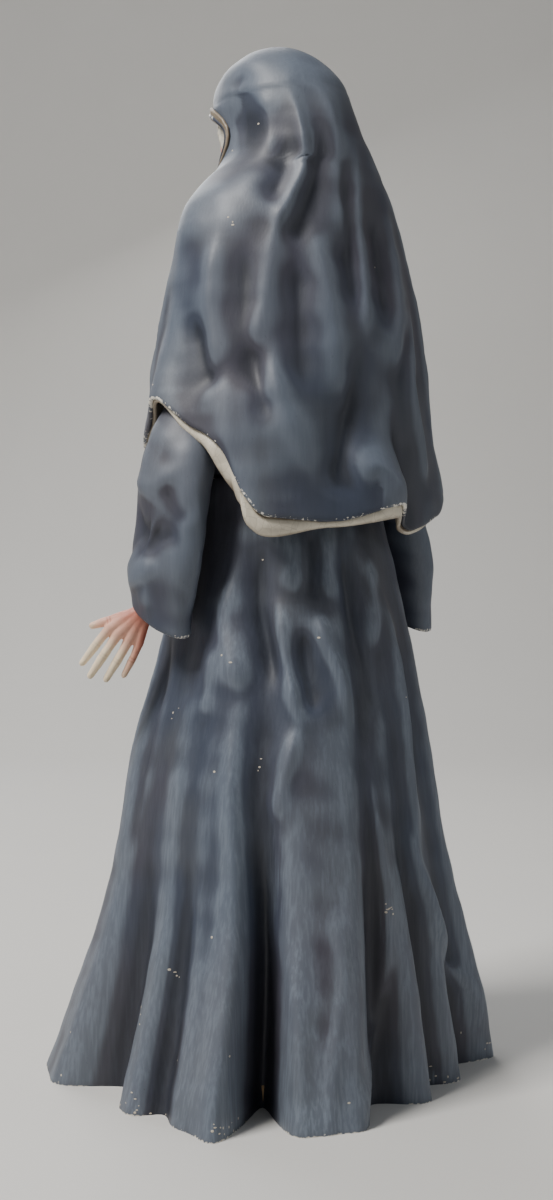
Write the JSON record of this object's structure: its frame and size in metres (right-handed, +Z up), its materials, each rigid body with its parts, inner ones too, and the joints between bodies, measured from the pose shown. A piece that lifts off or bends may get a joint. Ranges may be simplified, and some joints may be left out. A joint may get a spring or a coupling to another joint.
{
  "type": "papier-mache figure",
  "caption": "Standing papier-mache figure of a veiled woman in a long folded skirt, with lowered open hands, built over a wooden post and board.",
  "frame": {"origin": "centre of the base board's underside, which the figure stands on", "axes": "+Z up along the post; the figure looks along -Y and its left hand is on the +X side"},
  "size_m": [0.1268, 0.13, 0.299],
  "materials": {
    "slate_paint": "slate blue-grey craft paint over papier-mache, satin-matte, dry-brushed lighter on the folds",
    "cream_paint": "cream paint over paper, a little glossy",
    "skin_paint": "hand-painted flesh tones, satin",
    "raw_paper": "bare kraft paper and card",
    "timber": "sanded plywood and dowel",
    "steel": "galvanised wire and screw"
  },
  "bodies": {
    "root": {"base_board": "timber", "base_screw": "steel", "armature_post": "timber", "skirt_cone": "raw_paper", "waist_disc": "timber", "torso_core": "raw_paper", "shoulder_bar": "timber", "left_arm_wire": "steel", "right_arm_wire": "steel", "skirt": "slate_paint", "waist_band": "slate_paint", "bodice": "slate_paint", "left_sleeve": "slate_paint", "right_sleeve": "slate_paint", "left_hand": "skin_paint", "right_hand": "skin_paint", "head": "skin_paint", "coif": "cream_paint", "veil_lining": "cream_paint", "veil": "slate_paint"}
  },
  "joints": []
}
